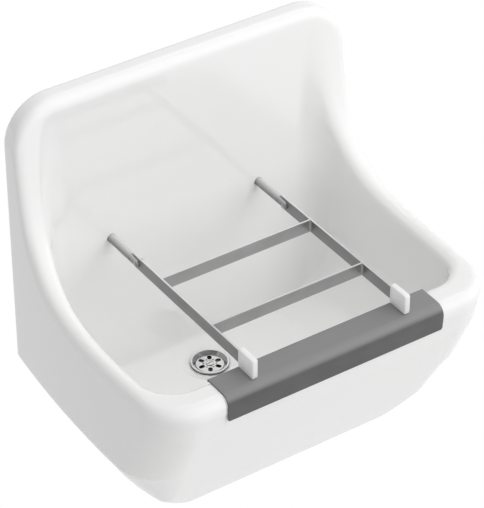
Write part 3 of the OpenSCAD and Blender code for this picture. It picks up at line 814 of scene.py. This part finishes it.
# The two hinge rods: drawn steel bar, turned down to a threaded stud behind, and milled away on
# one side in front to a flat tongue with a round end, which takes the pivot pin.
stud_r = 4 * mm
step_out = back_t - 4 * mm
shoulder_out = pivot_out - 14.74 * mm
tongue_far, tongue_near = rod_r - 0.8 * mm, 1.8 * mm
# The rods' colour runs from dark low on the left to light high on the right: painted shade and painted
# highlight, set by the normal's direction.
rod_painted_light_and_shade = (-0.7, 1.2, (0.85, 0.85, 0.85), (0.7, 0, 0.7))
rod_steel = metal_material("rod_steel", (0.28, 0.28, 0.283), 0.9, 0.26, (900, 25, 900), rod_painted_light_and_shade)


def thread(pitch, depth, lowest, highest):
    """The shape of a screw thread, as a change of a turned piece's radius: a wave that climbs by
    one pitch in each turn, and that fades in at both ends of the thread."""
    def cut_in(radius, height, angle):
        wave = 0.5 - 0.5 * np.cos(2 * math.pi * (height / pitch) - angle)
        fade = ease((height - lowest) / pitch) * ease((highest - height) / pitch)
        return radius - depth * fade * wave
    return cut_in


def tongue(name, origin_x):
    """The flat tongue: at every offset from the rod's middle plane its height is the chord of the
    round bar there, and its end is a half disc about the pivot."""
    turn = np.linspace(-math.pi / 2, math.pi / 2, 33)
    rings = []
    for offset, shrink in (
        (-tongue_far, 0.25), (-tongue_far + 0.07 * mm, 0.07), (-tongue_far + 0.25 * mm, 0),
        (-3.4 * mm, 0), (-2.6 * mm, 0),
        (-tongue_near - 0.25 * mm, 0), (-tongue_near - 0.07 * mm, 0.07), (-tongue_near, 0.25),
    ):
        chord = math.sqrt(rod_r ** 2 - offset ** 2) - shrink * mm
        reach = rod_r - shrink * mm
        z = np.clip(reach * np.sin(turn), -chord, chord)
        y = -pivot_out - reach * np.cos(turn)
        z = np.concatenate([[-chord], z, [chord]])
        y = np.concatenate([[1 * mm - shoulder_out], y, [1 * mm - shoulder_out]])
        rings.append(np.column_stack([np.full(len(y), origin_x + offset), y, z]))
    return skin(name, rings, rod_steel)


stud_thread = thread(1.25 * mm, 0.6 * mm, 4.4 * mm, step_out - 3 * mm)
for side, hand in ((-1, "left"), (1, "right")):
    profile = [(stud_r - 0.9 * mm, 4 * mm)]
    profile += [(stud_r, h) for h in np.arange(4.8 * mm, step_out - 1 * mm, 0.2 * mm)]
    profile += [(stud_r, step_out), (rod_r, step_out)]
    profile += [(rod_r, shoulder_out - 0.5 * mm), (rod_r - 0.5 * mm, shoulder_out)]
    rod = turned("rod", profile, (side * rod_x, 0, 0), OUT, rod_steel, steps=48, form=stud_thread)
    rod = joined(hand + "_turned_rod", [rod, tongue("tongue", side * rod_x)])
    dressed(rod, "basin", [hand + "_hinge_rod"])

# Black rubber bushes line the rods' holes in the fireclay, and the rods' shoulders squeeze them.
# A flat rubber seal lies behind each.
black_rubber = plain_material("black_rubber", (0.025, 0.025, 0.026), 0.62, 900, 0.3)
bush_r, seal_r = rod_r + 3 * mm, 12 * mm
rod_seal_t, rod_washer_t, rod_nut_t, rod_nut_r = 1.5 * mm, 1.6 * mm, 6.5 * mm, 7.44 * mm
bushes, seals = [], []
for side in (-1, 1):
    place = (side * rod_x, 0, 0)
    profile = oblong((stud_r, hollow_depth), (bush_r, step_out), 0.5 * mm, 3)
    bushes.append(turned("bush", profile, place, OUT, black_rubber, hollow=True))
    profile = oblong(
        (stud_r, hollow_depth - rod_seal_t), (seal_r, hollow_depth),
        [0.3 * mm, 0.65 * mm, 0.65 * mm, 0.3 * mm], 4,
    )
    seals.append(turned("seal", profile, place, OUT, black_rubber, hollow=True))
dressed(joined("rubber_bushes", bushes), "basin", ["rod_bushes"])
dressed(joined("rubber_rod_seals", seals), "basin", ["rod_seals"])

# Punched washers and hexagon nuts of zinc-plated steel, on the rods' studs, draw the rods up from
# behind.
zinc = metal_material("zinc_plating", (0.5, 0.51, 0.5), 0.85, 0.4, (300, 300, 300))


def hexagon(corner_r):
    """The form of a hexagon about the axis, with its corners at corner_r, as a greatest radius."""
    flat_r = corner_r * math.cos(math.pi / 6)

    def clip(radius, height, angle):
        return np.minimum(radius, flat_r / np.cos(angle % (math.pi / 3) - math.pi / 6))
    return clip


def nut(name, corner_r, bore_r, low_h, high_h, place, directions, material):
    """A hexagon nut: a closed profile with a coned bore and with cones over the corners."""
    cone = 0.1 * corner_r
    lead = 0.12 * bore_r
    profile = [
        (bore_r, low_h + lead), (bore_r + lead, low_h), (0.88 * corner_r, low_h),
        (corner_r, low_h + cone / 2), (corner_r, high_h - cone / 2), (0.88 * corner_r, high_h),
        (bore_r + lead, high_h), (bore_r, high_h - lead),
    ]
    return turned(name, profile, place, directions, material, True, 72, hexagon(corner_r))


def washer(name, bore_r, rim_r, low_h, high_h, place, directions, material):
    """A punched washer: a flat ring whose upper rim is rolled over by the punch."""
    t = high_h - low_h
    profile = oblong((bore_r, low_h), (rim_r, high_h), [0.1 * t, 0.15 * t, 0.45 * t, 0.3 * t], 4)
    return turned(name, profile, place, directions, material, hollow=True)


nut_foot = hollow_depth - rod_seal_t - rod_washer_t - rod_nut_t
washers, nuts = [], []
for side in (-1, 1):
    place = (side * rod_x, 0, 0)
    washers.append(washer(
        "washer", stud_r, seal_r, nut_foot + rod_nut_t, hollow_depth - rod_seal_t, place, OUT, zinc
    ))
    nuts.append(nut("nut", rod_nut_r, stud_r, nut_foot, nut_foot + rod_nut_t, place, OUT, zinc))
dressed(joined("plated_rod_washers", washers), "basin", ["rod_washers"])
dressed(joined("plated_rod_nuts", nuts), "basin", ["rod_nuts"])

# The pivots, turned of stainless steel: each is a pin with a thin round head on the tongue, and
# with a washer and a nut beyond the bar.
pin_steel = metal_material("pin_steel", (0.42, 0.42, 0.423), 0.9, 0.38, (400, 400, 400))
head_r, head_t = 3.5 * mm, 1 * mm
pin_tip = 7.5 * mm
pin_washer_r, pin_nut_r, pin_nut_t = 5 * mm, 4.65 * mm, 4 * mm
washer_foot = bar_t / 2 + 0.2 * mm
nut_foot = washer_foot + 1 * mm
pins, washers, nuts = [], [], []
for side in (-1, 1):
    place = (side * rod_x, -pivot_out, 0)
    profile = [
        (1.2 * mm, -tongue_far - head_t), (head_r - 1 * mm, -tongue_far - 0.93 * head_t),
        (head_r - 0.4 * mm, -tongue_far - 0.7 * head_t), (head_r, -tongue_far - 0.3 * head_t),
        (head_r, -tongue_far), (pivot_r, -tongue_far),
    ]
    profile += [(pivot_r, h) for h in np.arange(0, pin_tip - 0.4 * mm, 0.13 * mm)]
    profile.append((pivot_r - 0.5 * mm, pin_tip))
    form = thread(0.8 * mm, 0.35 * mm, washer_foot, pin_tip + 1 * mm)
    pins.append(turned("pin", profile, place, ACROSS, pin_steel, steps=48, form=form))
    washers.append(washer(
        "washer", pivot_r, pin_washer_r, washer_foot, nut_foot, place, ACROSS, pin_steel
    ))
    nuts.append(nut("nut", pin_nut_r, pivot_r, nut_foot, nut_foot + pin_nut_t, place, ACROSS, pin_steel))
dressed(joined("turned_pivot_pins", pins), "basin", ["pivot_pins"])
dressed(joined("steel_pivot_washers", washers), "basin", ["pivot_washers"])
dressed(joined("steel_pivot_nuts", nuts), "basin", ["pivot_nuts"])

# The hangers: a strip of plated steel on the wall with two screw holes, and a second strip,
# welded across it and bent up as a hook.
hook_top, hook_out = hanger_high[2], -hanger_low[1]
hook_r = 2.5 * mm
screw_hole_r, hole_pitch = 4.5 * mm, 40 * mm
for side, hand in ((-1, "left"), (1, "right")):
    outline = oblong((-hanger_w / 2, hanger_low[2]), (hanger_w / 2, hook_top), 4 * mm)
    middle = (side * hanger_x, -hanger_t / 2, 0)
    wall_plate = plate("wall_plate", outline, hanger_t, 0.4 * mm, middle, OUT, zinc)
    holes = []
    for height in (-hole_pitch / 2, hole_pitch / 2):
        hole = [(screw_hole_r, -1 * mm), (screw_hole_r, hanger_t - 0.5 * mm),
                (screw_hole_r + 1 * mm, hanger_t + 0.5 * mm)]
        holes.append(turned("cutter", hole, (side * hanger_x, 0, height), OUT))
    cut(wall_plate, holes)
    run = hook_out - hanger_t - hook_r - hanger_t / 2 + 0.5 * mm
    rise = hook_top - shelf_z + hanger_t / 2 - hook_r
    hook_path = bent_path((0.5 * mm - hanger_t, shelf_z - hanger_t / 2), 180, [run, (hook_r, -90), rise])
    hook = strip(
        "hook", hook_path, side * hanger_x, hanger_w / 2, hanger_t, 0.4 * mm, (0.5 * mm, 3 * mm), zinc,
    )
    dressed(joined(hand + "_hook_bracket", [wall_plate, hook]), "basin", [hand + "_hanger"])

# The waste's pressed flange, in polished chrome: a thin lip just over the glaze, a cone down to
# the strainer, the ledge under it and the neck in the hole. It is bedded on a rubber ring.
# The chrome's up-facing faces are painted white and its cone and sides left dark: painted highlight and
# painted shade, set by the normal's direction.
chrome_painted_highlight = (0.8, 0.99, (1, 1, 1), (0, 0, 1))
chrome = metal_material("chrome_plate", (0.38, 0.38, 0.385), 1.0, 0.09, (120, 120, 120), chrome_painted_highlight)
floor_z = -floor_drop - floor_fall
flange_r = 29 * mm
strainer_r = 21 * mm
strainer_drop, strainer_t = 4 * mm, 1.5 * mm
seal_t = 2 * mm
neck_r, neck_foot = waste_hole_r - 0.6 * mm, -16 * mm
neck_t = 2 * mm
at_waste = (0, -waste_out, floor_z)
cone_foot = strainer_r + 0.3 * mm
ledge_r, ledge_foot = strainer_r - 2 * mm, -strainer_drop - 3.5 * mm
lip_h = 0.35 * mm
profile = rounded([
    (flange_r, seal_t - seat_drop), (neck_r, seal_t - seat_drop), (neck_r, neck_foot),
    (neck_r - neck_t, neck_foot), (neck_r - neck_t, ledge_foot),
    (ledge_r, ledge_foot), (ledge_r, -strainer_drop - strainer_t),
    (cone_foot, -strainer_drop - strainer_t), (cone_foot, -strainer_drop),
    (flange_r - 3.2 * mm, lip_h), (flange_r - 0.6 * mm, lip_h), (flange_r, -0.3 * mm),
], np.array([0.4, 0.3, 0.4, 0.4, 0.3, 0.3, 0.2, 0.2, 0.3, 1.2, 0.35, 0.3]) * mm)
flange = turned("chrome_flange", profile, at_waste, UP, chrome, hollow=True, steps=120)
dressed(flange, "basin", ["waste_flange"])
profile = oblong((neck_r, -seat_drop), (flange_r - 0.5 * mm, seal_t - seat_drop), 0.5 * mm)
seal = turned("rubber_flange_ring", profile, at_waste, UP, black_rubber, hollow=True, steps=96)
dressed(seal, "basin", ["flange_seal"])

# The strainer: a thin flat chromed disc on the flange's ledge, with six oval holes and a small
# round one between each two.
slot_ring, slot_half, slot_r = strainer_r - 7.1 * mm, 1.3 * mm, 3.3 * mm
small_ring, small_r = 9.4 * mm, 1.3 * mm
top = -strainer_drop
profile = [
    (strainer_r - 0.35 * mm, top - strainer_t), (strainer_r, top - strainer_t + 0.35 * mm),
    (strainer_r, top - 0.5 * mm), (strainer_r - 0.15 * mm, top - 0.15 * mm), (strainer_r - 0.5 * mm, top),
]
strainer = turned("chrome_strainer", profile, at_waste, UP, chrome, steps=96)
cutters = []
for i in range(6):
    turn = math.radians(60 * i)
    along = np.array([math.cos(turn), math.sin(turn)])
    side_way = np.array([-along[1], along[0]])
    round_end = np.linspace(-math.pi / 2, math.pi / 2, 17)
    oval = [along * (slot_ring + slot_half + slot_r * math.cos(a)) + side_way * slot_r * math.sin(a)
            for a in round_end]
    oval += [along * (slot_ring - slot_half - slot_r * math.cos(a)) - side_way * slot_r * math.sin(a)
             for a in round_end]
    middle = np.array(at_waste) + (0, 0, top)
    cutters.append(plate("cutter", oval, 6 * mm, 0.5 * mm, middle, UP))
    turn = math.radians(60 * i + 30)
    centre = np.array(at_waste) + (small_ring * math.cos(turn), small_ring * math.sin(turn), top)
    cutters.append(turned("cutter", [(small_r, -3 * mm), (small_r, 3 * mm)], centre, UP, steps=24))
cut(strainer, cutters)
dressed(strainer, "basin", ["strainer_plate"])

# The strainer's chromed screw draws the outlet up from below. Its domed head has a sawn slot,
# and its lower end a thread.
screw_r, head_r, head_h = 3 * mm, 6 * mm, 1.6 * mm
under_z = -underside + under_depth
screw_tip = under_z - seal_t - 8 * mm - floor_z
dome = [(head_r * math.cos(a), top + head_h * (0.25 + 0.75 * math.sin(a)))
        for a in np.linspace(0, 1.45, 9)]
profile = [(screw_r - 0.6 * mm, screw_tip)]
profile += [(screw_r, h) for h in np.arange(screw_tip + 0.6 * mm, top - 8 * mm, 0.17 * mm)]
profile += [(screw_r, top - strainer_t), (head_r - 0.2 * mm, top - 0.1 * mm)] + dome
form = thread(1 * mm, 0.45 * mm, screw_tip, top - 8 * mm)
screw = turned("chrome_screw", profile, at_waste, UP, chrome, steps=48, form=form)
slot_outline = oblong((-7 * mm, -0.7 * mm), (7 * mm, 0.7 * mm), 0.2 * mm)
middle = np.array(at_waste) + (0, 0, top + head_h)
cut(screw, [plate("cutter", slot_outline, 1.8 * mm, 0.15 * mm, middle, UP)])
dressed(screw, "basin", ["strainer_screw"])

# Under the floor: a rubber ring, and the outlet, moulded in grey plastic. The outlet has a
# flange, a boss for the screw on three ribs, and a male thread for the trap.
grey_plastic = plain_material("grey_plastic", (0.42, 0.42, 0.41), 0.45, 500, 0.2)
body_low, body_high = np.array(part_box("waste_body"))
flange_out = (body_high[0] - body_low[0]) / 2
at_body = (0, -waste_out, body_high[2])
profile = oblong((waste_hole_r + 1 * mm, 0), (flange_out - 1 * mm, seal_t), 0.6 * mm)
ring = turned("rubber_under_ring", profile, at_body, UP, black_rubber, hollow=True, steps=96)
dressed(ring, "basin", ["underfloor_seal"])
tail_r, tail_wall, tail_foot = 23.9 * mm, 3.4 * mm, body_low[2] - body_high[2]
bore_r, body_h, collar_r = tail_r - tail_wall, 14 * mm, tail_r + 3 * mm
thread_pitch = 2.309 * mm
outer = rounded([
    (bore_r, 0), (bore_r, tail_foot), (tail_r - 0.8 * mm, tail_foot), (tail_r, tail_foot + 1.2 * mm),
    (tail_r, -body_h), (collar_r, -body_h), (collar_r, -7 * mm), (flange_out, -4 * mm), (flange_out, 0),
], np.array([0.4, 0.4, 0.3, 0.3, 0.3, 1, 1.5, 0.8, 0.5]) * mm)
profile = []
for here, after in zip(outer, np.roll(outer, -1, 0)):
    pieces = max(1, int(abs(after[1] - here[1]) / (0.14 * thread_pitch))) if here[0] > tail_r - mm else 1
    profile += [tuple(here + (after - here) * i / pieces) for i in range(pieces)]


def trap_thread(radius, height, angle):
    """The trap's thread, cut only in the outside of the tail."""
    if abs(radius - tail_r) > 0.1 * mm:
        return np.full(len(angle), radius)
    return thread(thread_pitch, 1.15 * mm, tail_foot, -body_h - 1 * mm)(radius, height, angle)


outlet = turned("outlet", profile, at_body, UP, grey_plastic, True, 120, trap_thread)
boss_r, boss_l, rib_t = 6 * mm, 10 * mm, 3 * mm
boss_profile = oblong((screw_r, -boss_l), (boss_r, 0), 0.4 * mm)
parts = [outlet, turned("boss", boss_profile, at_body, UP, grey_plastic, hollow=True)]
for i in range(3):
    turn = math.radians(120 * i)
    along = np.array([math.cos(turn), math.sin(turn)])
    side_way = np.array([-along[1], along[0]]) * rib_t / 2
    near, far = along * (boss_r - 0.8 * mm), along * (bore_r + 0.8 * mm)
    rib = rounded([near - side_way, far - side_way, far + side_way, near + side_way], 0.3 * mm)
    middle = np.array(at_body) - (0, 0, boss_l / 2)
    parts.append(plate("rib", rib, boss_l - 0.2 * mm, 0.4 * mm, middle, UP, grey_plastic))
dressed(joined("moulded_outlet", parts), "basin", ["waste_body"])
